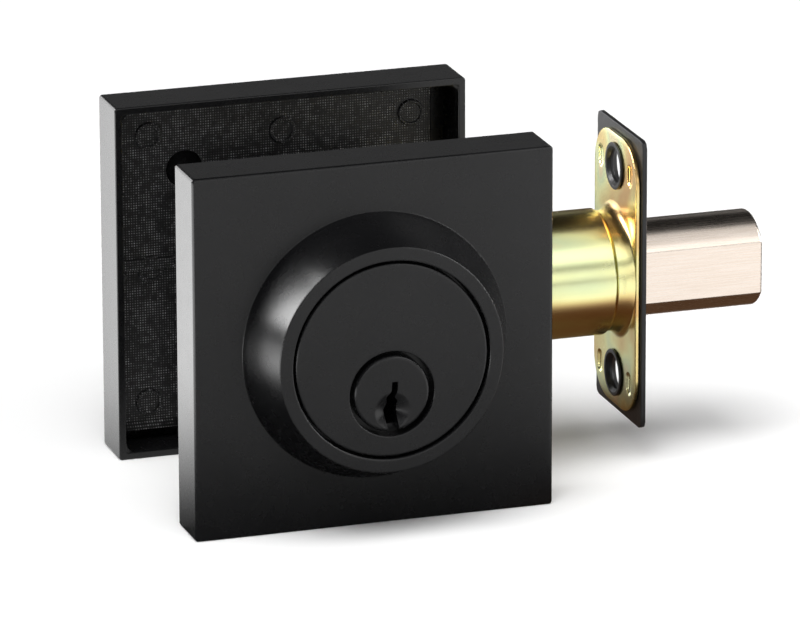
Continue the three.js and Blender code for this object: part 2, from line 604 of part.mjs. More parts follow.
place(outside, 'exterior_escutcheon', exteriorEscutcheon(), satinBlack);
place(outside, 'cylinder_housing', cylinderHousing(), satinBlack);
place(outside, 'key_plug', keyPlug(), satinBlack);
place(outside, 'plug_retainer_cap', plugRetainerCap(), brass);
place(outside, 'tailpiece', tailpiece(), brightZinc);
place(outside, 'spring_cover_strip', springCoverStrip(), brass);
pinPlaces.forEach((y, i) => {
  place(outside, `key_pin_${i + 1}`, keyPin(y, KEY_PIN_LENGTHS[i]), brass);
  place(outside, `driver_pin_${i + 1}`, driverPin(y), brass);
  place(outside, `pin_spring_${i + 1}`, pinSpring(y), springSteel);
});
place(outside, 'through_bolt_left', throughBolt(-SCREW_X), brightZinc);
place(outside, 'through_bolt_right', throughBolt(SCREW_X), brightZinc);

place(latch, 'bolt_tube', boltTube(), yellowZinc);
place(latch, 'backing_plate', backingPlate(), yellowZinc);
place(latch, 'faceplate', faceplate(), blackSteel);
place(latch, 'bolt', bolt(), satinNickel);
place(latch, 'anti_saw_pin', antiSawPin(), hardSteel);
place(latch, 'tail_bar', tailBar(), brightZinc);
place(latch, 'tail_bar_pin', tailBarPin(), hardSteel);
place(latch, 'bulkhead', bulkhead(), brightZinc);
place(latch, 'case_plate_exterior', casePlate(-CASE_OUTER, -CASE_INNER), yellowZinc);
place(latch, 'case_plate_interior', casePlate(CASE_INNER, CASE_OUTER), yellowZinc);
place(latch, 'cam', cam(), castZinc);
place(latch, 'cam_pin', camPin(), hardSteel);
RIVET_PLACES.forEach((xz, i) => place(latch, `case_rivet_${i + 1}`, caseRivet(xz), brightZinc));

place(inside, 'interior_cover', interiorCover(), satinBlack);
place(inside, 'interior_insert', interiorInsert(), darkPlastic);
place(inside, 'mounting_plate', mountingPlate(), brightZinc);
place(inside, 'cover_set_screw', coverSetScrew(), blackSteel);
place(inside, 'thumbturn', thumbturn(), satinBlack);
place(inside, 'thumbturn_spindle', thumbturnSpindle(), brightZinc);
place(inside, 'spindle_retaining_ring', spindleRetainingRing(), springSteel);
place(inside, 'wave_washer', waveWasher(), springSteel);
place(inside, 'thumbturn_screw', thumbturnScrew(), hardSteel);

export default lock;
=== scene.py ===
import json
import math

import bmesh
import bpy
import numpy as np
from mathutils import Matrix, Vector


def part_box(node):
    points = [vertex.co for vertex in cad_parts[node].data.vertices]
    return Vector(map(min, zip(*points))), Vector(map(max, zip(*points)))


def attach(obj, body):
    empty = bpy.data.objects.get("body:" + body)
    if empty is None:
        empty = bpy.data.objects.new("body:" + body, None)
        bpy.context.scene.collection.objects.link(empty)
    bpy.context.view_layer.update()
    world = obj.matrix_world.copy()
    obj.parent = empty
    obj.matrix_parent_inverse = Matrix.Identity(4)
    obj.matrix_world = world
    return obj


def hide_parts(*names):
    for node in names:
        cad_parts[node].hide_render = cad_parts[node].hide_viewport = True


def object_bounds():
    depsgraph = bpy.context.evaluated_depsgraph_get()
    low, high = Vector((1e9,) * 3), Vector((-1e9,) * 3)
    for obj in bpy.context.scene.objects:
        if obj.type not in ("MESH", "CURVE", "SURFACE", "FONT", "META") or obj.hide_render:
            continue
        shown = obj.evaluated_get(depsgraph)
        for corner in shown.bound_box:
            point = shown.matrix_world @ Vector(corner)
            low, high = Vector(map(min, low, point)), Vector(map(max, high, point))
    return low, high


# Looks of a tubular deadbolt lock: satin black plates, a yellow zinc latch and a satin nickel bolt.
# Shapes are worked out in millimetres in the CAD's own frame and put into the meshes in metres.

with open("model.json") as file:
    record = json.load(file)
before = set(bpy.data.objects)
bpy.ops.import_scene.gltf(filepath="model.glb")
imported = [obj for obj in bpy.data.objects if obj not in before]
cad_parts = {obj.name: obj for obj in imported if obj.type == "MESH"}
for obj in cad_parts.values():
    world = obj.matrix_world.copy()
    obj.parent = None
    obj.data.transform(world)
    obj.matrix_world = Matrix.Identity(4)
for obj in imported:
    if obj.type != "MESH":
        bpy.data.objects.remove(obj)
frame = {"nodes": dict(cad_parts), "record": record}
cad_low, cad_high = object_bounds()

MM = 0.001
WELD = 1e-4  # corners closer than this, in millimetres, are one point


def span(node):
    """Lowest and highest corner of a CAD node, in millimetres."""
    low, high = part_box(node)
    return np.array(low) / MM, np.array(high) / MM


# ------------------------------------------------------------------ places read from the CAD
PLATE_LOW, PLATE_HIGH = span("exterior_escutcheon")
COVER_LOW, COVER_HIGH = span("interior_cover")
HOUSING_LOW, HOUSING_HIGH = span("cylinder_housing")
PLUG_LOW, PLUG_HIGH = span("key_plug")
TUBE_LOW, TUBE_HIGH = span("bolt_tube")
BACKING_LOW, BACKING_HIGH = span("backing_plate")
FACE_LOW, FACE_HIGH = span("faceplate")
BOLT_LOW, BOLT_HIGH = span("bolt")
INSERT_LOW, INSERT_HIGH = span("interior_insert")
TURN_LOW, TURN_HIGH = span("thumbturn")
SPINDLE_LOW, SPINDLE_HIGH = span("thumbturn_spindle")

HALF = PLATE_HIGH[0]  # half the side of both square plates
DEPTH = COVER_HIGH[1] - COVER_LOW[1]
TURN_Z = (SPINDLE_LOW[2] + SPINDLE_HIGH[2]) / 2
LATCH_Y = (TUBE_LOW[1] + TUBE_HIGH[1]) / 2
FIT = 0.3
PLATE_CORNER = 0.6  # the square plates' corners, seen from the front
SCREW_Z = 20.65  # the latch's screw holes, above and below its axis
TOWER_TOP = 13.5  # the housing's pin tower, above the lock's axis
INSERT_WELL = (-9.5, 9.5, -14, 3.5)  # the block of the insert's grid that its spindle hole takes
BORE_HALF_V = 11  # half the height of the block that the bolt's opening takes in a latch plate
HAIR = 1e-6


# ------------------------------------------------------------------ surfaces
def lattice(grid, wrap=False):
    """The quads between neighbouring points of a grid. With wrap, the last column joins the first."""
    if wrap:
        grid = np.concatenate([grid, grid[:, :1]], axis=1)
    sides = [grid[:-1, :-1], grid[:-1, 1:], grid[1:, 1:], grid[1:, :-1]]
    return np.stack(sides, axis=2).reshape(-1, 4, grid.shape[-1])


def stand(flat, depth, axis="Y"):
    """Lifts flat points to depth: (x, z) along Y, or (y, z) along X."""
    depth = np.broadcast_to(depth, flat.shape[:-1])
    parts = [flat[..., 0], depth, flat[..., 1]] if axis == "Y" else [depth, flat[..., 0], flat[..., 1]]
    return np.stack(parts, axis=-1)


def rounded(corners, radii, steps=5, hold=0.1):
    """A polyline with its inner corners turned into arcs tangent to both sides.

    A point just before and just after each arc keeps the flat stretches flat under smooth shading.
    """
    corners = np.array(corners, float)
    pieces = [corners[:1]]
    for before, here, after, radius in zip(corners[:-2], corners[1:-1], corners[2:], radii):
        if radius == 0:
            pieces.append(here[None])
            continue
        a, b = before - here, after - here
        a, b = a / np.linalg.norm(a), b / np.linalg.norm(b)
        half = math.acos(np.clip(a @ b, -1, 1)) / 2
        tangent = radius / math.tan(half)
        centre = here + (a + b) / np.linalg.norm(a + b) * radius / math.sin(half)
        sweep = math.pi - 2 * half
        t = np.linspace(0, 1, steps + 1)[:, None]
        start, end = here + a * tangent - centre, here + b * tangent - centre
        arc = centre + (np.sin((1 - t) * sweep) * start + np.sin(t * sweep) * end) / math.sin(sweep)
        pieces += [(here + a * (tangent + hold))[None], arc, (here + b * (tangent + hold))[None]]
    pieces.append(corners[-1:])
    return np.concatenate(pieces)


def angles(count):
    """Even steps round a full turn."""
    return np.linspace(0, 2 * np.pi, count, endpoint=False)


def rays(turn):
    """Unit steps from a centre, one for each angle."""
    return np.stack([np.cos(turn), np.sin(turn)], axis=-1)


def circle(radius, centre=(0, 0), count=96):
    """A loop of points at one radius round a centre."""
    return np.array(centre) + radius * rays(angles(count))


def turned(profile, centre=(0, 0), axis="Y", count=96):
    """A profile of (radius, place) pairs carried round an axis through centre."""
    profile = np.array(profile, float)
    flat = np.array(centre) + profile[:, :1, None] * rays(angles(count))
    return lattice(stand(flat, profile[:, 1:], axis), wrap=True)


def reach(turn, half_u, half_v, corner):
    """How far a ray at angle turn goes to the outline of a rectangle with round corners.

    The ray meets a straight side, or else the circle of radius corner set in the corner.
    """
    c, s = np.abs(np.cos(turn)) + 1e-12, np.abs(np.sin(turn)) + 1e-12
    p, q = half_u - corner, half_v - corner
    along = p * c + q * s
    bend = along + np.sqrt(np.maximum(along**2 - p**2 - q**2 + corner**2, 0))
    side = np.where(half_u / c * s <= q, half_u / c, bend)
    return np.where(half_v / s * c <= p, half_v / s, side)


def loop(turn, distance, centre=(0, 0)):
    """A loop of points, each at its own distance along its ray from centre."""
    return np.array(centre) + np.broadcast_to(distance, turn.shape)[:, None] * rays(turn)


def round_hole(radius):
    """The outline of a round hole: the same distance along every ray."""
    return lambda turn: np.full_like(turn, radius)


def slide(loops, depths, goal, shares, depth):
    """Adds loops that go straight from the last loop to goal, by the given shares, at one depth."""
    last = loops[-1]
    loops += [last + (goal - last) * share for share in shares]
    depths += [depth] * len(shares)


def between(inner, outer, depth, axis="Y", shares=(0, 0.03, 0.3, 0.6, 0.97, 1)):
    """A flat ring between two loops: each point slides straight from one loop to the other."""
    share = np.array(shares)[:, None, None]
    return lattice(stand(inner + (outer - inner) * share, depth, axis), wrap=True)


def swept(loops, depths, axis="Y"):
    """A wall through a stack of loops, each at its own depth."""
    return lattice(stand(np.array(loops), np.array(depths)[:, None], axis), wrap=True)


def outward(points):
    """Unit normals that point out of an anticlockwise loop, from each point's two neighbours."""
    tangent = np.roll(points, -1, axis=0) - np.roll(points, 1, axis=0)
    normal = np.stack([tangent[:, 1], -tangent[:, 0]], axis=-1)
    return normal / np.linalg.norm(normal, axis=1, keepdims=True)


def wall(points, profile, axis="Y"):
    """A wall that leaves a loop: each (out, depth) pair sets the loop out along its normals."""
    profile = np.array(profile, float)
    stack = points + outward(points) * profile[:, :1, None]
    return lattice(stand(stack, profile[:, 1:], axis), wrap=True)


def block_border(plane, rows=None, columns=None):
    """The points round a block of a grid, anticlockwise. With no block given, round the whole grid."""
    (r0, r1), (c0, c1) = rows or (0, plane.shape[0] - 1), columns or (0, plane.shape[1] - 1)
    sides = [
        plane[r0:r1, c0], plane[r1, c0:c1], plane[r1:r0:-1, c1],
        plane[r0, c1:c0:-1] if c0 else plane[r0, c1:0:-1],
    ]
    return np.concatenate(sides)


def holed_plane(plane, us, vs, holes, depth, axis):
    """A flat grid with openings. Each hole takes a block of the grid, (u0, u1, v0, v1), and rays
    run from the block's border to the hole's own outline. Gives the quads and the hole loops."""
    keep = np.ones((len(us) - 1, len(vs) - 1), bool)
    quads, loops = [], []
    for taken, centre, distance in holes:
        r0, r1 = np.searchsorted(us, np.array(taken[:2]) - HAIR)
        c0, c1 = np.searchsorted(vs, np.array(taken[2:]) - HAIR)
        keep[r0:r1, c0:c1] = False
        border = block_border(plane, (r0, r1), (c0, c1))
        turn = np.arctan2(border[:, 1] - centre[1], border[:, 0] - centre[0])
        ring = loop(turn, distance(turn), centre)
        quads.append(between(ring, border, depth, axis, (0, 0.04, 0.15, 0.4, 0.7, 1)))
        loops.append(ring)
    cells = lattice(stand(plane, depth, axis)).reshape(len(us) - 1, len(vs) - 1, 4, 3)
    quads.append(cells[keep])
    return quads, loops


def lines(*marks, pitch=1.0):
    """Grid lines that pass through every mark, and between marks stand about a pitch apart."""
    marks = np.unique(np.round(marks, 6))
    counts = [max(1, round((b - a) / pitch)) for a, b in zip(marks, marks[1:])]
    runs = [np.linspace(a, b, n, endpoint=False) for a, b, n in zip(marks, marks[1:], counts)]
    return np.concatenate(runs + [marks[-1:]])


def round_corners(plane, half_u, half_v, corner):
    """Moves the points of a rectangular grid so that its corners become arcs: inside each corner
    square, a point at (a, b) goes to (a sqrt(1 - b b / 2), b sqrt(1 - a a / 2))."""
    size = np.array([half_u - corner, half_v - corner])
    over = np.clip(np.abs(plane) - size, 0, None) / corner
    a, b = over[..., 0], over[..., 1]
    bent = np.stack([a * np.sqrt(1 - b**2 / 2), b * np.sqrt(1 - a**2 / 2)], axis=-1)
    both = ((a > 0) & (b > 0))[..., None]
    return np.where(both, np.sign(plane) * (size + bent * corner), plane)


def make(name, surfaces, material, body, nodes, sharp=38):
    """Welds sets of quads into one closed mesh, turns its faces outwards and hands it to the frame."""
    corners = np.concatenate(surfaces).reshape(-1, 3)
    keys = np.round(corners / WELD).astype(np.int64)
    _, first, index = np.unique(keys, axis=0, return_index=True, return_inverse=True)
    quads = index.reshape(-1, 4)
    same = quads == np.roll(quads, -1, axis=1)
    faces = quads[~same.any(axis=1)].tolist()
    for k in range(4):
        # a side that has shrunk to a point leaves a triangle
        rest = [j for j in range(4) if j != k]
        faces += quads[same[:, k] & (same.sum(axis=1) == 1)][:, rest].tolist()
    mesh = bpy.data.meshes.new(name)
    mesh.from_pydata(corners[first] * MM, [], faces)
    shell = bmesh.new()
    shell.from_mesh(mesh)
    bmesh.ops.recalc_face_normals(shell, faces=shell.faces)
    shell.to_mesh(mesh)
    shell.free()
    soften(mesh, sharp)
    item = bpy.data.objects.new(name, mesh)
    bpy.context.scene.collection.objects.link(item)
    mesh.materials.append(material)
    if nodes:
        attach(item, body)
        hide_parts(*nodes)
    return item


def soften(mesh, sharp):
    """Smooth shading, with edges sharper than the angle kept crisp."""
    mesh.polygons.foreach_set("use_smooth", np.ones(len(mesh.polygons), bool))
    mesh.set_sharp_from_angle(angle=math.radians(sharp))


def carve(item, cutters, sharp=38):
    """Cuts closed surfaces out of a piece and keeps the result as its own mesh."""
    finish = item.data.materials[0]
    tools = [make(f"cutter{i}", [quads], finish, None, ()) for i, quads in enumerate(cutters)]
    for tool in tools:
        cut = item.modifiers.new(tool.name, "BOOLEAN")
        cut.operation, cut.solver, cut.object = "DIFFERENCE", "EXACT", tool
    bpy.context.view_layer.update()
    carved = bpy.data.meshes.new_from_object(item.evaluated_get(bpy.context.evaluated_depsgraph_get()))
    item.modifiers.clear()
    item.data = carved
    soften(carved, sharp)
    for tool in tools:
        bpy.data.objects.remove(tool)


def block(x0, x1, y0, y1, z0, z1):
    """The six sides of a box."""
    corner = np.array([[x0, z0], [x1, z0], [x1, z1], [x0, z1]], float)
    middle = corner * 0 + corner.mean(axis=0)
    return swept([middle, corner, corner, middle], [y0, y0, y1, y1])


# ------------------------------------------------------------------ materials
def shade(code):
    """An sRGB hex colour as linear RGBA."""
    value = np.array([int(code[i : i + 2], 16) for i in (1, 3, 5)]) / 255
    linear = np.where(value <= 0.04045, value / 12.92, ((value + 0.055) / 1.055) ** 2.4)
    return (*linear, 1.0)


def add(tree, kind, links=(), stops=(), **settings):
    """Adds a node: settings name its properties or its inputs, links are (input, output socket),
    and stops are a colour ramp's (position, hex) pairs."""
    item = tree.nodes.new("ShaderNode" + kind)
    for name, value in settings.items():
        if hasattr(item, name):
            setattr(item, name, value)
        else:
            item.inputs[name.replace("_", " ")].default_value = value
    for name, source in links:
        tree.links.new(source, item.inputs[name])
    while stops and len(item.color_ramp.elements) < len(stops):
        item.color_ramp.elements.new(0.5)
    for k, (position, code) in enumerate(stops):
        element = item.color_ramp.elements[k]
        element.position, element.color = position, shade(code)
    return item


def blank(name, **sockets):
    """A new material with one Principled shader, whose constant values sit on its own sockets."""
    material = bpy.data.materials.new(name)
    material.use_nodes = True
    tree = material.node_tree
    shader = tree.nodes["Principled BSDF"]
    for socket, value in sockets.items():
        shader.inputs[socket.replace("_", " ")].default_value = value
    return material, tree, shader


def finish(name, stops, gloss, grains, relief=None, **sockets):
    """A material whose colour, roughness and relief each follow a noise.

    A grain is (lump size in millimetres, stretch along X Y Z, detail, roughness of the noise). The
    first grain picks a colour from stops, the second a roughness between the two ends of gloss, and
    the third raises the surface by relief, (height in millimetres, strength). The last grain given
    stands for those that are left out.
    """
    material, tree, shader = blank(name, **sockets)
    here = [("Vector", add(tree, "TexCoord").outputs["Object"])]
    noises = []
    for lump, stretch, detail, rough in grains:
        mm = add(tree, "Mapping", here, Scale=[s / MM for s in stretch])
        noises.append(add(tree, "TexNoise", [("Vector", mm.outputs["Vector"])],
                          Scale=1 / lump, Detail=detail, Roughness=rough).outputs["Fac"])
    noises += noises[-1:] * 2
    tone = add(tree, "ValToRGB", [("Fac", noises[0])], stops)
    tree.links.new(tone.outputs["Color"], shader.inputs["Base Color"])
    satin = add(tree, "MapRange", [("Value", noises[1])], To_Min=gloss[0], To_Max=gloss[1])
    tree.links.new(satin.outputs["Result"], shader.inputs["Roughness"])
    if relief:
        skin = add(tree, "Bump", [("Height", noises[2])], Distance=relief[0] * MM, Strength=relief[1])
        tree.links.new(skin.outputs["Normal"], shader.inputs["Normal"])
    return material


def textured_backing():
    """Black moulded backing with the print of a fine cloth: small raised knots in a square net, the
    prouder ones painted pale grey as painted highlights. The knots carry these painted highlight specks, and
    the gaps between them stay black."""
    material, tree, shader = blank("textured_backing", IOR=1.5)
    pitch = 0.5  # knot spacing in millimetres, twice the real one so that the net shows
    speck_patch = 1.1  # size of the patches where the painted highlight specks gather, in millimetres
    here = [("Vector", add(tree, "TexCoord").outputs["Object"])]
    mm = add(tree, "Mapping", here, Scale=[1 / MM] * 3).outputs["Vector"]
    axes = add(tree, "SeparateXYZ", [("Vector", mm)])
    waves = []
    for axis in ("X", "Z"):
        turn = add(tree, "Math", [(0, axes.outputs[axis])], operation="MULTIPLY")
        turn.inputs[1].default_value = math.pi / pitch
        wave = add(tree, "Math", [(0, turn.outputs[0])], operation="SINE")
        waves.append(add(tree, "Math", [(0, wave.outputs[0])], operation="ABSOLUTE").outputs[0])
    knots = add(tree, "Math", [(0, waves[0]), (1, waves[1])], operation="MULTIPLY").outputs[0]
    speck_texture = add(tree, "TexNoise", [("Vector", mm)], Scale=1 / speck_patch, Detail=4.0, Roughness=0.7)
    speck_noise = speck_texture.outputs["Fac"]
    # the knots' height, which also sets their painted highlight: knot tops are painted pale where the noise
    # is high
    height = add(tree, "Math", [(0, knots), (1, speck_noise)], operation="MULTIPLY").outputs[0]
    # painted highlight: the prouder knots get pale grey in their colour, standing in for the glints on them
    tone = add(tree, "ValToRGB", [("Fac", height)], [(0.1, "#080808"), (0.38, "#202021"), (0.6, "#a2a2a3")])
    tree.links.new(tone.outputs["Color"], shader.inputs["Base Color"])
    satin = add(tree, "MapRange", [("Value", speck_noise)], To_Min=0.34, To_Max=0.56)
    tree.links.new(satin.outputs["Result"], shader.inputs["Roughness"])
    weave = add(tree, "Bump", [("Height", height)], Distance=0.12 * MM, Strength=0.6)
    tree.links.new(weave.outputs["Normal"], shader.inputs["Normal"])
    return material


EVEN = (1, 1, 1)
FINISHES = {
    # baked lacquer on cast zinc: near black, an even satin gloss and a very fine orange peel
    "satin_black": finish(
        "satin_black_lacquer", [(0.3, "#0d0d0e"), (0.7, "#111112")], (0.24, 0.3),
        [(9.0, EVEN, 3, 0.5), (3.0, EVEN, 3, 0.5), (0.6, EVEN, 2, 0.5)], (0.004, 0.35), IOR=1.45),
    # black passivated zinc on pressed steel: dark grey, low gloss, with faint upright rolling marks
    "black_steel": finish(
        "black_zinc_steel", [(0.3, "#1b1b1c"), (0.7, "#2a2a2b")], (0.32, 0.46),
        [(0.5, (1, 1, 0.08), 3, 0.5), (1.4, EVEN, 3, 0.5), (0.5, (1, 1, 0.08), 3, 0.5)], (0.006, 0.4),
        Metallic=0.35, IOR=1.5),
    # yellow chromate on zinc plated steel: pale gold, and its thin film drifts to green and rose
    "yellow_zinc": finish(
        "yellow_passivated_zinc",
        [(0.3, "#dcb477"), (0.42, "#e8d592"), (0.52, "#ecebac"), (0.62, "#d9e2b2"), (0.72, "#e8d6ab")],
        (0.22, 0.3), [(9.0, (0.2, 1, 1), 1, 0.4), (6.0, EVEN, 3, 0.5), (0.35, (0.1, 1, 1), 2, 0.5)],
        (0.0015, 0.3), Metallic=1.0),
    # satin nickel plate on a drawn bolt: warm silver, brushed with fine lines along its length
    "satin_nickel": finish(
        "satin_nickel", [(0.3, "#d6c8bb"), (0.7, "#e4d8cd")], (0.2, 0.34),
        [(0.22, (0.03, 1, 1), 3, 0.5)], (0.003, 0.4), Metallic=1.0),
    # clear zinc on pressed or machined steel: cool grey metal with a faint spangle
    "bright_zinc": finish(
        "clear_zinc_plate", [(0.3, "#9fa5aa"), (0.7, "#c3c8cc")], (0.28, 0.44),
        [(1.6, EVEN, 3, 0.5), (1.6, EVEN, 3, 0.5), (0.3, EVEN, 3, 0.5)], (0.004, 0.4), Metallic=1.0),
    # zinc as it leaves the die: dull grey with a grainy skin
    "cast_zinc": finish(
        "as_cast_zinc", [(0.3, "#6b6c6f"), (0.7, "#929397")], (0.45, 0.62),
        [(0.4, EVEN, 5, 0.7)], (0.02, 0.5), Metallic=0.85),
    # brass off the lathe: warm yellow with fine tool rings round the Y axis
    "brass": finish(
        "turned_brass", [(0.3, "#b48d45"), (0.7, "#d4b063")], (0.22, 0.36),
        [(0.15, (0.1, 1, 0.1), 2, 0.5)], (0.006, 0.4), Metallic=1.0),
    # hard drawn spring wire and strip: bright grey, faintly mottled by drawing
    "spring_steel": finish(
        "spring_steel", [(0.3, "#8b8f94"), (0.7, "#b3b7bb")], (0.22, 0.38), [(0.25, EVEN, 3, 0.5)],
        Metallic=1.0),
    # hardened and ground steel pin: dark grey, faintly blued, with ground lines
    "hard_steel": finish(
        "hardened_steel", [(0.3, "#5d6066"), (0.7, "#84878c")], (0.25, 0.4), [(0.2, (1, 0.1, 1), 3, 0.5)],
        Metallic=1.0),
    "dark_plastic": textured_backing(),
}
SLOT_OF = {part["node"]: part["material_slot"] for part in frame["record"]["subparts"]}


def dress_cad_nodes():
    """Gives every CAD node the finish of its slot; the ones replaced below are hidden later."""
    for name, item in frame["nodes"].items():
        item.data.materials.clear()
        item.data.materials.append(FINISHES[SLOT_OF[name]])


def shape(name, surfaces, body="chassis", sharp=38):
    """A piece that stands for the CAD node of the same name, in that node's finish."""
    slot = SLOT_OF[name]
    return make(f"{name}_skin", surfaces, FINISHES[slot], body, (name,), sharp)


# ------------------------------------------------------------------ square plates
def plate_turns(corner):
    """Ray angles for a square plate: even steps, and close ones over its four small corners."""
    edge = math.pi / 4 - math.atan((HALF - corner) / HALF)
    near = np.linspace(-edge, edge, 7)
    near = np.concatenate([near, [-1.6 * edge, 1.6 * edge]])
    corners = [math.pi / 4 + k * math.pi / 2 + near for k in range(4)]
    even = angles(200)
    away = np.abs(even % (math.pi / 2) - math.pi / 4) > 2 * edge
    return np.sort(np.concatenate([even[away], *corners]))


def escutcheon():
    """Outside plate: a round boss with a straight conical side stands on a square plate.

    One set of rays is carried through a chain of stations. Over the boss each station is a circle;
    over the plate's face the circle slides out to a rounded square; then the square goes round
    the edge, up the side, over the back rim and into the hollow behind.
    """
    turn = plate_turns(PLATE_CORNER)
    front, top = -DEPTH, PLATE_LOW[1]
    bore, counterbore, shoulder = 17.3, 19.05, -17.3
    ring, foot, step = 21.75, 25.65, 0.4
    side = np.linspace((ring, top + FIT), (foot, front - step), 9)
    lip = rounded([(bore, front + 2), (bore, shoulder), (counterbore, shoulder), (counterbore, top),
                   (ring, top), side[0]], [0.15, 0.1, 0.35, 0.28], hold=0.08)
    at_foot = rounded([side[-1], (foot, front), (foot + 1.5, front)], [0.12], 3)
    boss = np.concatenate([lip[:-1], side, at_foot[1:]])
    loops = [loop(turn, radius) for radius, _ in boss]
    depths = [depth for _, depth in boss]
    fillet, skin, hollow_corner = 0.55, 2, 15
    flat = HALF - fillet - 0.1
    slide(loops, depths, loop(turn, reach(turn, flat, flat, PLATE_CORNER)), (0.2, 0.45, 0.7, 1), front)
    inner, hollow = HALF - skin, front + skin
    edge = rounded([(inner, front), (HALF, front), (HALF, 0), (inner, 0), (inner, hollow)],
                   [fillet, 0.25, 0.2], steps=6)[2:]
    for half, depth in edge:
        corner = hollow_corner if half <= inner + HAIR else PLATE_CORNER
        loops.append(loop(turn, reach(turn, half, half, corner)))
        depths.append(depth)
    slide(loops, depths, loop(turn, bore), (0.03, 0.5, 0.97, 1), hollow)
    shape("exterior_escutcheon", [swept(loops, depths)])


def cover():
    """Inside cover: a square pan with thin walls, open to the door, with a hole for the spindle."""
    thick, floor_thick, inner_corner = 1.4, 1.5, 2.0
    turn = plate_turns(PLATE_CORNER)
    rim, back = COVER_LOW[1], COVER_HIGH[1]
    inner, floor = HALF - thick, back - floor_thick
    hole, ease, centre = 5.2, 0.3, (0, TURN_Z)
    path = rounded([(inner, floor), (inner, rim), (HALF, rim), (HALF, back), (HALF - 2, back)],
                   [0.18, 0.25, 0.55], steps=5)
    ring = loop(turn, hole, centre)
    loops, depths = [ring], [floor]
    slide(loops, depths, loop(turn, reach(turn, inner, inner, inner_corner)), (0.03, 0.5, 0.97, 1), floor)
    for half, depth in path[1:]:
        corner = inner_corner if half <= inner + HAIR else PLATE_CORNER
        loops.append(loop(turn, reach(turn, half, half, corner)))
        depths.append(depth)
    slide(loops, depths, loop(turn, hole + ease, centre), (0.5, 0.97, 1), back)
    loops += [ring, ring]
    depths += [back - ease, floor]
    item = shape("interior_cover", [swept(loops, depths)])
    # the set screw's hole goes up through the bottom wall, so its turned shape has Y and Z exchanged
    screw_x, screw_y, _ = np.mean(span("cover_set_screw"), axis=0)
    below, above, screw_r = -HALF - 1, -inner + 0.5, 2.2
    screw_hole = turned([(0, below), (screw_r, below), (screw_r, above), (0, above)],
                        (screw_x, screw_y), count=32)
    carve(item, [screw_hole[..., [0, 2, 1]]])


def insert():
    """Backing sheet in the cover: a flat sheet with two round holes and a spindle hole, raised
    round marks, a rib and small nubs on the cover's walls."""
    (u0, front, v0), (u1, back, v1) = INSERT_LOW, INSERT_HIGH
    soft = 0.25
    left, right, low, high = INSERT_WELL
    us = lines(u0 + soft, left, right, u1 - soft, pitch=1.3)
    vs = lines(v0 + soft, low, high, v1 - soft, pitch=1.3)
    plane = np.stack(np.meshgrid(us, vs, indexing="ij"), axis=-1)
    hole_x, hole_z, hole_r, spindle_r = 19, 19.6, 3.7, 5.2
    holes = [
        ((us[0], left, high, vs[-1]), (-hole_x, hole_z), round_hole(hole_r + soft)),
        ((right, us[-1], vs[0], low), (hole_x, -hole_z), round_hole(hole_r + soft)),
        (INSERT_WELL, (0, TURN_Z), round_hole(spindle_r + soft)),
    ]
    surfaces = []
    for depth in (front, back):
        quads, loops = holed_plane(plane, us, vs, holes, depth, "Y")
        surfaces += quads
    edge = rounded([(-1, front), (soft, front), (soft, back), (-1, back)],
                   [soft, soft], steps=4, hold=0)[1:-1]
    surfaces.append(wall(block_border(plane), edge))
    surfaces += [wall_in(ring, edge) for ring in loops]
    surfaces += insert_marks(front)
    shape("interior_insert", surfaces)


def wall_in(ring, profile):
    """A hole's wall: the loop closes in by each out value instead of spreading."""
    profile = np.array(profile, float) * [-1, 1]
    order = ring if area(ring) > 0 else ring[::-1]
    return wall(order, profile)


def area(ring):
    """Signed area of a loop, positive when it runs anticlockwise."""
    ahead = np.roll(ring, -1, axis=0)
    return 0.5 * np.sum(ring[:, 0] * ahead[:, 1] - ahead[:, 0] * ring[:, 1])


def insert_marks(front):
    """What stands on the sheet's face: round ejector marks with a raised rim, a cross rib, a
    chamfered ledge along the bottom, and two small round nubs beside the left wall."""
    sunk = front + 0.1  # every mark starts this deep in the sheet
    rim = rounded([(0, front - 0.12), (1.95, front - 0.12), (2.05, front - 0.6), (2.5, front - 0.6),
                   (2.65, sunk), (0, sunk)], [0.1, 0.12, 0.12, 0], steps=3, hold=0.03)
    marks = ((-26.3, 26.9), (0.5, 25.7), (26.4, 26.8), (-26.2, 0.4), (-26.8, -26.3))
    surfaces = [turned(rim, place, count=40) for place in marks]
    u0, v0, u1 = INSERT_LOW[0] + 0.4, INSERT_LOW[2] + 0.4, INSERT_HIGH[0] - 0.4
    rib_end, rib_z = -21.5, 1.4
    rib = rounded([(-1, 0), (-1, -0.55), (1, -0.55), (1, 0)], [0.3, 0.3], steps=4, hold=0.05)
    xs = np.array([u0, u0, rib_end, rib_end])
    size = np.array([0, 1, 1, 0])[:, None]
    y = sunk + (rib[:, 1] - 0.1)[None] * size
    z = rib_z + rib[:, 0][None] * size
    grid = np.stack([np.broadcast_to(xs[:, None], y.shape), y, z], axis=-1)
    surfaces.append(lattice(grid, wrap=True))
    ledge = np.array([[sunk, v0], [front - 1.2, v0], [front - 1.2, v0 + 0.3], [sunk, v0 + 1.5]])
    middle = np.broadcast_to(ledge.mean(axis=0), ledge.shape)
    surfaces.append(swept([middle, ledge, ledge, middle], [u0, u0, u1, u1], "X"))
    nub_r, nub_height = 0.5, 3.4
    t = np.linspace(0, math.pi / 2, 6)
    cap = np.stack([nub_r * np.sin(t), front - nub_height - nub_r * np.cos(t)], axis=-1)
    nub = np.concatenate([cap, [(nub_r, sunk), (0, sunk)]])
    surfaces += [turned(nub, (u0 + nub_r, z), count=24) for z in (0.2, -21)]
    return surfaces


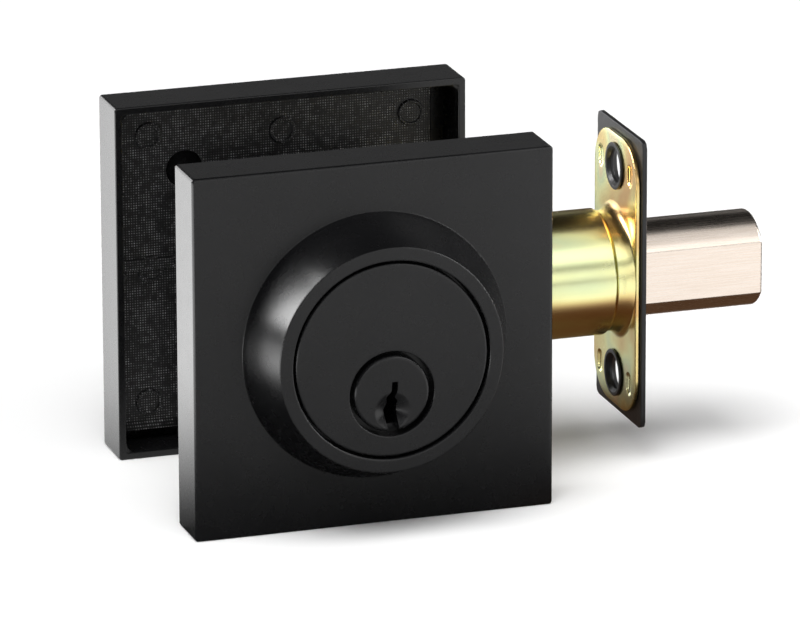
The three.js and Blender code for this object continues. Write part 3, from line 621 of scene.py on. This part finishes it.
# ------------------------------------------------------------------ cylinder
def casting_reach(turn):
    """Outline of the housing behind the plate, from the centre: along each ray, the furthest point
    of the plug barrel, the pin tower, the web and the two screw posts."""
    c, s = np.cos(turn), np.sin(turn)

    def disc(x, z, radius):
        along = x * c + z * s
        inside = along**2 - x**2 - z**2 + radius**2
        return np.where(inside > 0, along + np.sqrt(np.maximum(inside, 0)), 0)

    def box(half_x, low, high):
        side = half_x / np.maximum(np.abs(c), 1e-9)
        end = np.where(s > 0, high, low) / np.where(np.abs(s) < 1e-9, 1e-9, s)
        return np.minimum(side, end)

    barrel_r, tower_half, web_half, post_x, post_r = 8.65, 5, 2.2, 14, 3.1
    shapes = [disc(0, TURN_Z, barrel_r), box(tower_half, TURN_Z, TOWER_TOP), box(post_x, -web_half, web_half)]
    shapes += [disc(x, 0, post_r) for x in (-post_x, post_x)]
    return np.max(shapes, axis=0)


def housing():
    """Cylinder housing: a flush round head with the plug's well in it, and a ribbed casting behind."""
    face, back = HOUSING_LOW[1], HOUSING_HIGH[1]
    head, body, shoulder, body_back = 18.6, 17.0, -17.6, -10
    well, bore, well_floor = 8.2, 6.65, -18.2
    centre = (0, TURN_Z)
    count = 160
    outer = rounded([(15, face), (head, face), (head, shoulder), (body, shoulder), (body, body_back)],
                    [0.45, 0.1, 0], steps=6, hold=0.06)[2:]
    inner = rounded([(10, face), (well, face), (well, well_floor), (bore, well_floor), (bore, body_back)],
                    [0.22, 0.05, 0.1], steps=5, hold=0.06)[2:]
    surfaces = [
        turned(outer, count=count),
        turned(inner, centre, count=count),
        between(circle(inner[0, 0], centre, count), circle(outer[0, 0], (0, 0), count), face),
        between(circle(bore, centre, count), circle(body, (0, 0), count), body_back),
    ]
    turn = angles(240)
    start = body_back - FIT  # the casting starts a little inside the body
    ring = loop(turn, bore, centre)
    full, inset = loop(turn, casting_reach(turn)), loop(turn, casting_reach(turn) - FIT)
    surfaces += [
        swept([full, full, inset], [start, back - FIT, back]),
        swept([ring, ring], [start, back]),
        between(ring, full, start), between(ring, inset, back),
    ]
    shape("cylinder_housing", surfaces)


def keyway(radius):
    """The keyway's outline, open at the plug's foot: up the left flank, over the top and down the
    right flank, with the steps that the key's grooves follow. Its two ends lie on the radius."""
    left, right = -0.9, 1.3
    path = np.array([
        [left, -math.sqrt(radius**2 - left**2)], [-1.45, -3.2], [-0.75, -2.2], [-1.0, -0.75], [-0.1, 0.6],
        [0, 2.3], [1.13, 2.3], [1.1, 0.7], [0.6, -0.75], [1.23, -1.6], [1.15, -2.7],
        [right, -math.sqrt(radius**2 - right**2)],
    ])
    counts = [26, 8, 10, 12, 12, 6, 12, 12, 8, 8, 26]
    shares = [np.linspace(0, 1, n, endpoint=False)[:, None] for n in counts]
    runs = [a + (b - a) * share for a, b, share in zip(path, path[1:], shares)]
    return np.concatenate(runs + [path[-1:]])


def plug_rim(radius):
    """The plug's round outline between the two ends of the keyway, the long way over the top."""
    ends = keyway(radius)[[0, -1]]
    start, stop = np.arctan2(ends[:, 1], ends[:, 0])
    turn = np.linspace(start + 2 * math.pi, stop, len(keyway(radius)))
    return radius * rays(turn)


def plug():
    """Key plug: a stepped round bar split by the keyway. The face is a fan of lines from the keyway
    to the rim, and a cone round the lower keyway, the thumb dish, pushes it in."""
    face, back = PLUG_LOW[1], HOUSING_HIGH[1]
    centre = np.array([0, TURN_Z])
    flange, stem, step = 7.35, 6.35, -18.5
    dish_centre, dish_radius, dish_depth = np.array([0.1, -3.3]), 3.5, 2.1
    path = rounded([(5, face), (flange, face), (flange, step), (stem, step), (stem, back)],
                   [0.7, 0.12, 0], steps=8, hold=0.06)[2:]

    def dished(flat, depth):
        """Depth with the dish's cone added, its edge rounded by a parabola."""
        far = np.linalg.norm(flat - dish_centre, axis=-1)
        lean = np.clip((dish_radius - far) / dish_radius, 0, 1)
        return depth + dish_depth * lean**1.15

    share = np.linspace(0, 1, 52)[:, None, None]
    slot, rim = keyway(path[0, 0]), plug_rim(path[0, 0])
    fan = slot + (rim - slot) * share
    surfaces = [lattice(stand(fan + centre, dished(fan, face)))]
    rims = np.array([plug_rim(radius) for radius, _ in path])
    slots = np.array([keyway(radius) for radius, _ in path])
    depths = np.broadcast_to(path[:, 1:], slots.shape[:2])
    slot_depths = np.where(np.arange(len(path))[:, None] == 0, dished(slots, depths), depths)
    deep = np.maximum(slot_depths, dished(slots[:1], np.full(slots.shape[1], face)))
    deep[-1] = back
    surfaces += [lattice(stand(rims + centre, depths)), lattice(stand(slots + centre, deep))]
    last = slots[-1] + (rims[-1] - slots[-1]) * np.array([0, 0.5, 1])[:, None, None]
    surfaces.append(lattice(stand(last + centre, back)))
    start, end, stub_r, ease = back - 0.4, PLUG_HIGH[1], 5.2, 0.3
    stub = [(0, start), (stub_r, start), (stub_r, end - ease), (stub_r - ease, end), (0, end)]
    surfaces.append(turned(stub, centre, count=48))
    shape("key_plug", surfaces, "key_plug", sharp=30)


# ------------------------------------------------------------------ latch
def tube():
    """Latch tube: a plain drawn tube with small round edges at both ends."""
    (x0, _, _), (x1, _, outer) = TUBE_LOW, TUBE_HIGH
    inner = outer - 1
    seam = (inner, (x0 + x1) / 2)
    ring = rounded([seam, (inner, x0), (outer, x0), (outer, x1), (inner, x1), seam],
                   [0.12, 0.25, 0.35, 0.12], steps=5, hold=0.1)
    shape("bolt_tube", [turned(ring, (LATCH_Y, 0), "X", count=128)])


def bolt_reach(turn, radius, flat):
    """Outline of a round bar with a flat on each side, from its axis."""
    return np.minimum(radius, flat / np.maximum(np.abs(np.cos(turn)), 1e-9))


def bolt():
    """Bolt: a round bar with two flats, small round edges at its nose, and the cuts at its tail."""
    radius, flat = BOLT_HIGH[2], (BOLT_HIGH[1] - BOLT_LOW[1]) / 2
    join = math.acos(flat / radius)
    joins = [side + sign * join for side in (0, math.pi) for sign in (-1, 1)]
    edges = np.concatenate([at + np.linspace(-0.02, 0.02, 5) for at in joins])
    turn = np.sort(np.concatenate([angles(144), edges]) % (2 * math.pi))
    outline = soft_loop(loop(turn, bolt_reach(turn, radius, flat), (LATCH_Y, 0)), 3)
    tail, nose = BOLT_LOW[0], BOLT_HIGH[0]
    middle = np.zeros_like(outline) + [LATCH_Y, 0]
    ends = rounded([(-1, tail), (0, tail), (0, nose), (-1, nose)], [0.3, 0.55], steps=5, hold=0.1)[1:-1]
    tail_edge, nose_edge = [outline + outward(outline) * out for out in (ends[0, 0], ends[-1, 0])]
    saw_centre, saw_floor, saw_r = (LATCH_Y, np.mean(span("anti_saw_pin"), axis=0)[2]), 80, 3.1
    bore = loop(turn, saw_r, saw_centre)
    floor_middle = np.zeros_like(outline) + saw_centre
    surfaces = [
        wall(outline, ends, "X"),
        between(middle, nose_edge, nose, "X", (0, 0.4, 0.8, 1)),
        between(bore, tail_edge, tail, "X"),
        swept([bore, bore, floor_middle], [tail, saw_floor, saw_floor], "X"),
    ]
    item = shape("bolt", surfaces, "bolt", sharp=24)
    slot_end, slot_half, slot_floor = 58.6, 1.3, 2.3
    slot = block(tail - 1, slot_end, LATCH_Y - slot_half, LATCH_Y + slot_half, slot_floor, radius + 1)
    pin_x, _, pin_z = np.mean(span("tail_bar_pin"), axis=0)
    near, far, pin_r = LATCH_Y - 12, LATCH_Y + 12, 1.8
    cross = turned([(0, near), (pin_r, near), (pin_r, far), (0, far)], (pin_x, pin_z), "Y", 24)
    carve(item, [slot, cross], sharp=24)


def soft_loop(points, times):
    """Averages each point of a loop with its neighbours a few times, to ease its corners."""
    for _ in range(times):
        points = (np.roll(points, 1, axis=0) + 2 * points + np.roll(points, -1, axis=0)) / 4
    return points


def bolt_hole(radius, flat):
    """The outline of an opening for the bolt: a circle cut off by two flats."""
    return lambda turn: bolt_reach(turn, radius, flat)


def latch_plate_side(plane, near, far, soft):
    """The side of a latch plate: a wall round the plate's border, with both its edges eased."""
    edge = rounded([(-1, near), (soft, near), (soft, far), (-1, far)], [soft, 0.15], steps=5, hold=0.05)
    edge = np.concatenate([[(0, near)], edge[2:-2], [(0, far)]])
    return wall(block_border(plane), edge, "X")


def faceplate():
    """Edge faceplate: a thin steel plate with the bolt's opening and two countersunk screw holes,
    whose necks pass through the backing plate and are flared over behind it."""
    front, back = FACE_HIGH[0], FACE_HIGH[0] - 1.0
    half_u, half_v = (FACE_HIGH[1] - FACE_LOW[1]) / 2, FACE_HIGH[2]
    soft, corner, pitch = 0.3, 1.5, 0.9
    # grid lines, out from the plate's middle, where the block of a hole starts or ends
    hole_u, bore_u, hole_low, hole_high = 5.6, 10.0, 15.2, 26
    across = np.array([hole_u, half_u - corner, half_u - soft])
    along = np.array([BORE_HALF_V, hole_low, hole_high, half_v - corner, half_v - soft])
    us = np.concatenate([lines(*-across, *across, pitch=pitch), lines(-bore_u, bore_u, pitch=pitch)])
    us, vs = np.unique(np.round(us, 6)), lines(*-along, *along, pitch=pitch)
    flat = np.stack(np.meshgrid(us, vs, indexing="ij"), axis=-1)
    plane = round_corners(flat, half_u - soft, half_v - soft, corner - soft) + [LATCH_Y, 0]
    us = us + LATCH_Y
    bore_r, bore_flat, ease = 9.6, 8.1, 0.15
    bore_block = (LATCH_Y - bore_u, LATCH_Y + bore_u, -BORE_HALF_V, BORE_HALF_V)
    sides = (LATCH_Y - hole_u, LATCH_Y + hole_u)
    screw_blocks = {-SCREW_Z: (*sides, -hole_high, -hole_low), SCREW_Z: (*sides, hole_low, hole_high)}
    mouth, neck_r, neck_wall, flange_r, flange = 4.55, 3.2, 3.9, 4.6, FACE_LOW[0]
    eyelet = rounded(
        [(mouth, front), (4.4, front), (neck_r, front - 1.2), (neck_r, flange + 0.7), (3.85, flange),
         (flange_r, flange), (flange_r, flange + 0.4), (neck_wall, flange + 0.4), (neck_wall, back)],
        [0.08, 0.3, 0.4, 0.2, 0.18, 0.12, 0.04], steps=5, hold=0.03)
    surfaces = []
    for depth, grow, hole in ((front, ease, mouth), (back, 0, neck_wall)):
        holes = [(bore_block, (LATCH_Y, 0), bolt_hole(bore_r + grow, bore_flat + grow))]
        holes += [(taken, (LATCH_Y, z), round_hole(hole)) for z, taken in screw_blocks.items()]
        quads, loops = holed_plane(plane, us, vs, holes, depth, "X")
        surfaces += quads
        if depth == front:
            front_loops = loops
    surfaces.append(latch_plate_side(plane, front, back, soft))
    turn = np.arctan2(front_loops[0][:, 1], front_loops[0][:, 0] - LATCH_Y)
    steps = [(ease, front), (0.04, front - 0.06), (0, front - ease), (0, back)]
    rings = [loop(turn, bolt_reach(turn, bore_r + grow, bore_flat + grow), (LATCH_Y, 0)) for grow, _ in steps]
    surfaces.append(swept(rings, [depth for _, depth in steps], "X"))
    for ring, z in zip(front_loops[1:], (-SCREW_Z, SCREW_Z)):
        turn = np.arctan2(ring[:, 1] - z, ring[:, 0] - LATCH_Y)
        rings = [loop(turn, radius, (LATCH_Y, z)) for radius, _ in eyelet]
        surfaces.append(swept(rings, eyelet[:, 1], "X"))
    shape("faceplate", surfaces, sharp=35)


def backing_plate():
    """Yellow backing plate: a plate with large round corners, holes for the eyelets, small pressed
    dimples beside them, and a neck that flares into the plate and holds the tube."""
    half_u, half_v = (BACKING_HIGH[1] - BACKING_LOW[1]) / 2, BACKING_HIGH[2]
    front = BACKING_HIGH[0]
    back = front - 0.8
    soft, corner = 0.22, 8.0
    # grid lines, out from the plate's middle, where a hole's or a dimple's block starts or ends
    hole_u, dimple_u = 6.0, 10.2
    hole_low, dimple_low, dimple_high, hole_high = 15.3, 17.4, 23.9, 26
    across = np.array([hole_u, dimple_u, half_u - corner, half_u - soft])
    along = np.array([BORE_HALF_V, hole_low, dimple_low, dimple_high, hole_high,
                      half_v - corner, half_v - soft])
    us, vs = lines(*-across, *across, pitch=0.8), lines(*-along, *along, pitch=0.8)
    flat = np.stack(np.meshgrid(us, vs, indexing="ij"), axis=-1)
    plane = round_corners(flat, half_u - soft, half_v - soft, corner - soft) + [LATCH_Y, 0]
    us = us + LATCH_Y
    bore_block = (LATCH_Y - dimple_u, LATCH_Y + dimple_u, -BORE_HALF_V, BORE_HALF_V)
    holes, dimples = [(bore_block, (LATCH_Y, 0), bolt_hole(9.7, 8.2))], []
    for end in (-1, 1):
        low, high = sorted((end * hole_low, end * hole_high))
        holes.append(((LATCH_Y - hole_u, LATCH_Y + hole_u, low, high),
                      (LATCH_Y, end * SCREW_Z), round_hole(4.2)))
        low, high = sorted((end * dimple_low, end * dimple_high))
        for side in (-1, 1):
            left, right = sorted((side * hole_u, side * dimple_u))
            dimples.append(((LATCH_Y + left, LATCH_Y + right, low, high),
                            (LATCH_Y + side * 8.1, end * SCREW_Z), lambda turn: reach(turn, 1.5, 2.4, 1.4)))
    surfaces = []
    for depth, kept in ((back, holes + dimples), (front, holes)):
        quads, loops = holed_plane(plane, us, vs, kept, depth, "X")
        surfaces += quads
        if depth == back:
            back_loops = loops
    for ring in back_loops[:3]:
        surfaces.append(swept([ring, ring], [back, front], "X"))
    for ring in back_loops[3:]:
        middle = ring.mean(axis=0)
        # shares of the dimple's outline, each with its depth
        pocket = [(1, 0), (0.93, 0.06), (0.85, 0.22), (0.72, 0.4), (0.5, 0.47), (0, 0.5)]
        surfaces.append(swept([middle + (ring - middle) * size for size, _ in pocket],
                              [back + depth for _, depth in pocket], "X"))
    surfaces.append(latch_plate_side(plane, back, front, soft))
    surfaces.append(neck(back, half_u))
    shape("backing_plate", surfaces, sharp=35)


def neck(back, half_u):
    """The neck: a turned collar whose foot flares into the plate. Where a circle would be wider than
    the plate it becomes an oval, and a thinner spigot runs back into the tube."""
    start, tube_end = BACKING_LOW[0], TUBE_HIGH[0] + FIT
    spigot, collar, bore = 10.9, 11.6, 9.7
    t = np.linspace(0, math.pi / 2, 12)
    spread_r, spread_x = 2.0, 2.5
    flare = np.stack([collar + spread_r * (1 - np.cos(t)), back - spread_x + spread_x * np.sin(t)], axis=-1)
    outside = rounded([(bore, start + 1), (bore, start), (spigot, start), (spigot, tube_end),
                       (collar, tube_end), flare[0]], [0.1, 0.2, 0.1, 0.3], steps=5, hold=0.05)
    in_plate = back + 0.3
    profile = np.concatenate([outside[:-1], flare, [(flare[-1, 0], in_plate), (bore, in_plate), outside[0]]])
    flat = profile[:, :1, None] * rays(angles(128))
    flat[..., 0] *= np.minimum(1, (half_u - 0.1) / profile[:, :1])
    return lattice(stand(flat + [LATCH_Y, 0], profile[:, 1:], "X"), wrap=True)


# ------------------------------------------------------------------ thumb turn
def thumbturn():
    """Thumb turn: a round collar on the cover and a flat paddle that stands out of it. The paddle
    is a long rounded outline that draws in a little to its waist and rounds over at the end."""
    (_, y0, _), (half_u, y1, _) = TURN_LOW, TURN_HIGH
    centre = (0, TURN_Z)
    collar_r, collar_top, socket_r, socket_floor = 9.5, y0 + 4.0, 5.1, y0 + 3.5
    collar = rounded([(socket_r, socket_floor), (socket_r, y0), (collar_r, y0), (collar_r, collar_top),
                      (0, collar_top)], [0.2, 0.3, 0.9], steps=6, hold=0.1)
    collar = np.concatenate([[(0, socket_floor)], collar])
    close = np.linspace(-0.25, 0.25, 25)
    turn = np.sort(np.concatenate([angles(120), close % (2 * math.pi), close + math.pi]))
    half_v, corner, end_r, foot = 4.0, 3.2, 1.5, 3.6
    t = np.linspace(0, 1, 14)
    rise = (y0 + foot + (y1 - end_r - y0 - foot) * t).tolist()
    waist = 0.55 * np.sin(math.pi * t) ** 1.5
    loops = [loop(turn, reach(turn, half_u - 0.3 * w, half_v - w, corner), centre) for w in waist]
    bend = np.linspace(0, math.pi / 2, 7)[1:]
    for inset in end_r * (1 - np.cos(bend)):
        loops.append(loop(turn, reach(turn, half_u - inset, half_v - inset, corner - inset), centre))
    depths = rise + (y1 - end_r + end_r * np.sin(bend)).tolist()
    spines = [
        np.stack([np.clip(ring[:, 0], -half_u + 4, half_u - 4), np.full(len(ring), TURN_Z)], axis=-1)
        for ring in (loops[0], loops[-1])
    ]
    slide(loops, depths, spines[1], (0.1, 0.5, 1), y1)
    paddle = swept([spines[0], *loops], [depths[0], *depths])
    shape("thumbturn", [turned(collar, centre), paddle], "thumbturn", sharp=30)


# ------------------------------------------------------------------ stage
def camera():
    """A long lens to the left of the lock and above it, aimed close to the middle of the latch's axis.

    back points from the lock to the lens, and right and up span the view, turned by a slight roll.
    """
    azimuth, elevation, roll = math.radians(-18.14), math.radians(17.267), math.radians(-0.183)
    distance, focal = 1.37194, 330.57
    level = math.cos(elevation)
    back = Vector((math.sin(azimuth) * level, -math.cos(azimuth) * level, math.sin(elevation)))
    right = Vector((math.cos(azimuth), math.sin(azimuth), 0))
    up = back.cross(right)
    c, s = math.cos(roll), math.sin(roll)
    right, up = c * right + s * up, -s * right + c * up
    data = bpy.data.cameras.new("camera")
    data.lens, data.sensor_width = focal, 36
    data.clip_start, data.clip_end = 0.05, 20
    item = bpy.data.objects.new("camera", data)
    axes = Matrix((right, up, back)).transposed().to_4x4()
    aim_right, aim_up = 0.008096, 0.001287
    item.matrix_world = Matrix.Translation(right * aim_right + up * aim_up + back * distance) @ axes
    bpy.context.scene.collection.objects.link(item)
    bpy.context.scene.camera = item


def panel(name, centre, target, size, glow):
    """A soft rectangular light at centre that faces target, all in millimetres. Its power grows with
    its glow and its area: power = 4 x glow x area."""
    data = bpy.data.lights.new(name, "AREA")
    data.shape = "RECTANGLE"
    data.size, data.size_y = size[0] * MM, size[1] * MM
    data.energy = 4 * glow * data.size * data.size_y
    item = bpy.data.objects.new(name, data)
    item.location = Vector(centre) * MM
    item.rotation_mode = "QUATERNION"
    item.rotation_quaternion = (Vector(centre) - Vector(target)).to_track_quat("Z", "Y")
    bpy.context.scene.collection.objects.link(item)
    return item


def sheet(name, us, vs, z):
    """A flat grid on the stage, in millimetres."""
    grid = np.stack(np.meshgrid(us, vs, indexing="ij"), axis=-1)
    corners = np.concatenate([grid, np.full((*grid.shape[:2], 1), z)], axis=-1).reshape(-1, 3)
    index = np.arange(len(corners)).reshape(len(us), len(vs))
    faces = np.stack([index[:-1, :-1], index[1:, :-1], index[1:, 1:], index[:-1, 1:]], axis=-1).reshape(-1, 4)
    mesh = bpy.data.meshes.new(name)
    mesh.from_pydata(corners * MM, [], faces.tolist())
    item = bpy.data.objects.new(name, mesh)
    bpy.context.scene.collection.objects.link(item)
    return item, corners


VIEW_SLOPE = 3.06  # how far a line of sight runs back for each step to the right
UNDER_LATCH = np.array([0.1, 0.055, 0.03])  # the warm dark that the tube and the bolt mirror from below


def smooth(low, high, value):
    """0 below low, 1 above high, and an even S between them."""
    t = np.clip((value - low) / (high - low), 0, 1)
    return t * t * (3 - 2 * t)


def reflector_glow(x, y):
    """Radiance of the low reflector round the lock, as red, green and blue.

    In front it climbs with distance from the plate; far to the left and behind it is bright;
    close to the lock and under the latch it is dark.
    """
    ahead = -DEPTH - y
    front = 0.05 + 0.55 * smooth(5, 75, ahead) + 0.3 * smooth(75, 190, ahead)
    front = front + (1.45 - front) * smooth(0, 14, x - HALF - 1 - ahead / VIEW_SLOPE) * smooth(5, 30, ahead)
    behind = 0.1 + 3.6 * smooth(-5, 105, y)
    behind = behind * (1 - 0.48 * smooth(0, 45, y + VIEW_SLOPE * (x + HALF)))
    latch = 0.66 - 0.3 * smooth(40, 190, y)
    behind = latch + (behind - latch) * smooth(-8, -36, x)
    left = 0.3 + 5.0 * smooth(-60, -150, x)
    level = np.where(y < 0, front, behind)
    level = level + (left - level) * smooth(-75, -115, x) * smooth(110, 60, y) * smooth(-260, -120, y)
    under = smooth(22, 40, x) * smooth(-32, -8, y) * smooth(70, 48, y)
    tint = level[:, None] * np.ones(3)
    return tint + (UNDER_LATCH - tint) * under[:, None]


def reflector():
    """A glowing card just under the floor that only shiny surfaces see."""
    half, crowding = 1500, 2.2  # its grid lines crowd towards the lock by this power
    steps = np.linspace(-1, 1, 121)
    marks = half * np.sign(steps) * np.abs(steps) ** crowding
    card, corners = sheet("reflector", marks, marks, cad_low[2] / MM - 0.5)
    glow = card.data.color_attributes.new("glow", "FLOAT_COLOR", "POINT")
    rgba = np.concatenate([reflector_glow(corners[:, 0], corners[:, 1]), np.ones((len(corners), 1))], axis=1)
    glow.data.foreach_set("color", rgba.astype(np.float32).ravel())
    material = bpy.data.materials.new("reflector_glow")
    material.use_nodes = True
    tree = material.node_tree
    tree.nodes.clear()
    source = add(tree, "Attribute", attribute_name="glow")
    light = add(tree, "Emission", [("Color", source.outputs["Color"])], Strength=1.0)
    add(tree, "OutputMaterial", [("Surface", light.outputs["Emission"])])
    card.data.materials.append(material)
    card.visible_camera = card.visible_diffuse = card.visible_shadow = card.visible_transmission = False


def stage():
    """A pale floor under the lock, and a dim room round it that darkens overhead."""
    ends = np.array([-4000, 4000])
    floor, _ = sheet("floor", ends, ends, cad_low[2] / MM)
    material, _, _ = blank("pale_floor", Base_Color=shade("#f4f4f4"), Roughness=0.9, Specular_IOR_Level=0.0)
    floor.data.materials.append(material)
    floor.visible_glossy = False
    world = bpy.data.worlds.new("room")
    bpy.context.scene.world = world
    world.use_nodes = True
    tree = world.node_tree
    coordinates = add(tree, "TexCoord")
    height = add(tree, "SeparateXYZ", [("Vector", coordinates.outputs["Generated"])])
    tone = add(tree, "MapRange", [("Value", height.outputs["Z"])],
               From_Min=0.2, From_Max=0.7, To_Min=0.23, To_Max=0.07)
    tree.links.new(tone.outputs["Result"], tree.nodes["Background"].inputs["Strength"])


def lights():
    """A broad light overhead for the floor and the shadow on it, a low and a high softbox in front,
    a strip on each side that shows only as a mirror image, and small lights above the latch and behind."""
    overhead = bpy.data.lights.new("overhead", "SUN")
    overhead.energy, overhead.angle = 3.3, math.radians(48)
    item = bpy.data.objects.new("overhead", overhead)
    item.rotation_mode = "QUATERNION"
    item.rotation_quaternion = Vector((-350, -330, 1250)).to_track_quat("Z", "Y")
    item.visible_glossy = False
    bpy.context.scene.collection.objects.link(item)
    panel("front_low", (250, -1000, 230), (0, 0, 0), (1700, 330), 1.15)
    panel("front_high", (250, -720, 760), (0, 0, 0), (1500, 520), 0.65)
    panel("left_strip", (-650, 290, 420), (0, 0, 0), (480, 600), 13.0).visible_diffuse = False
    panel("right_strip", (900, -60, 360), (0, 0, 0), (260, 720), 8.0).visible_diffuse = False
    panel("behind_low", (330, 1050, 330), (0, 0, 0), (1400, 300), 0.12)
    panel("latch_top", (162, -113, 170), (162, -113, 0), (175, 294), 0.75)
    panel("kicker", (-300, 700, 160), (0, 0, 0), (300, 300), 3.0)


dress_cad_nodes()
escutcheon()
cover()
insert()
housing()
plug()
tube()
bolt()
faceplate()
backing_plate()
thumbturn()
camera()
stage()
reflector()
lights()
bpy.context.scene.view_settings.view_transform = "Standard"
